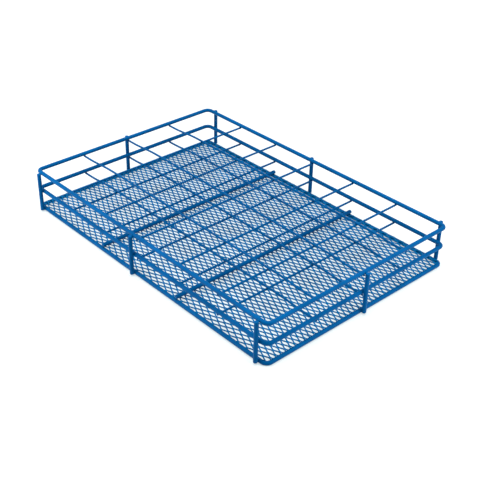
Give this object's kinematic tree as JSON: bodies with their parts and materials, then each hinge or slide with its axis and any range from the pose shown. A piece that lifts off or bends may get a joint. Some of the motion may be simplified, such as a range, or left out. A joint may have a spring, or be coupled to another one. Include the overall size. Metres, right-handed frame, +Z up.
{
  "type": "divided wire tray",
  "caption": "Open rectangular tray of coated steel rod with three stacked rims, two levels of wire grid forming pockets, and an expanded-metal floor.",
  "frame": {"origin": "centre of the tray's outline, on the surface that the bottom rim rests on", "axes": "+X along the long side, +Y along the short side, +Z up"},
  "size_m": [0.4453, 0.3032, 0.0567],
  "materials": {
    "coated_rod": "satin epoxy coating on steel rod",
    "coated_wire": "satin epoxy coating on thin steel wire",
    "coated_mesh": "satin epoxy coating on expanded steel"
  },
  "bodies": {
    "root": {"bottom_rim": "coated_rod", "middle_rim": "coated_rod", "top_rim": "coated_rod", "post_front_left": "coated_rod", "post_front_middle": "coated_rod", "post_front_right": "coated_rod", "post_back_left": "coated_rod", "post_back_middle": "coated_rod", "post_back_right": "coated_rod", "post_left_middle": "coated_rod", "post_right_middle": "coated_rod", "mesh_floor": "coated_mesh", "floor_crossbar_left": "coated_rod", "floor_crossbar_right": "coated_rod", "top_cross_wire_1": "coated_wire", "top_cross_wire_2": "coated_wire", "top_cross_wire_3": "coated_wire", "top_cross_wire_4": "coated_wire", "top_cross_wire_5": "coated_wire", "top_long_wire_1": "coated_wire", "top_long_wire_2": "coated_wire", "top_long_wire_3": "coated_wire", "middle_cross_wire_1": "coated_wire", "middle_cross_wire_2": "coated_wire", "middle_cross_wire_3": "coated_wire", "middle_cross_wire_4": "coated_wire", "middle_cross_wire_5": "coated_wire", "middle_long_wire_1": "coated_wire", "middle_long_wire_2": "coated_wire", "middle_long_wire_3": "coated_wire"}
  },
  "joints": []
}
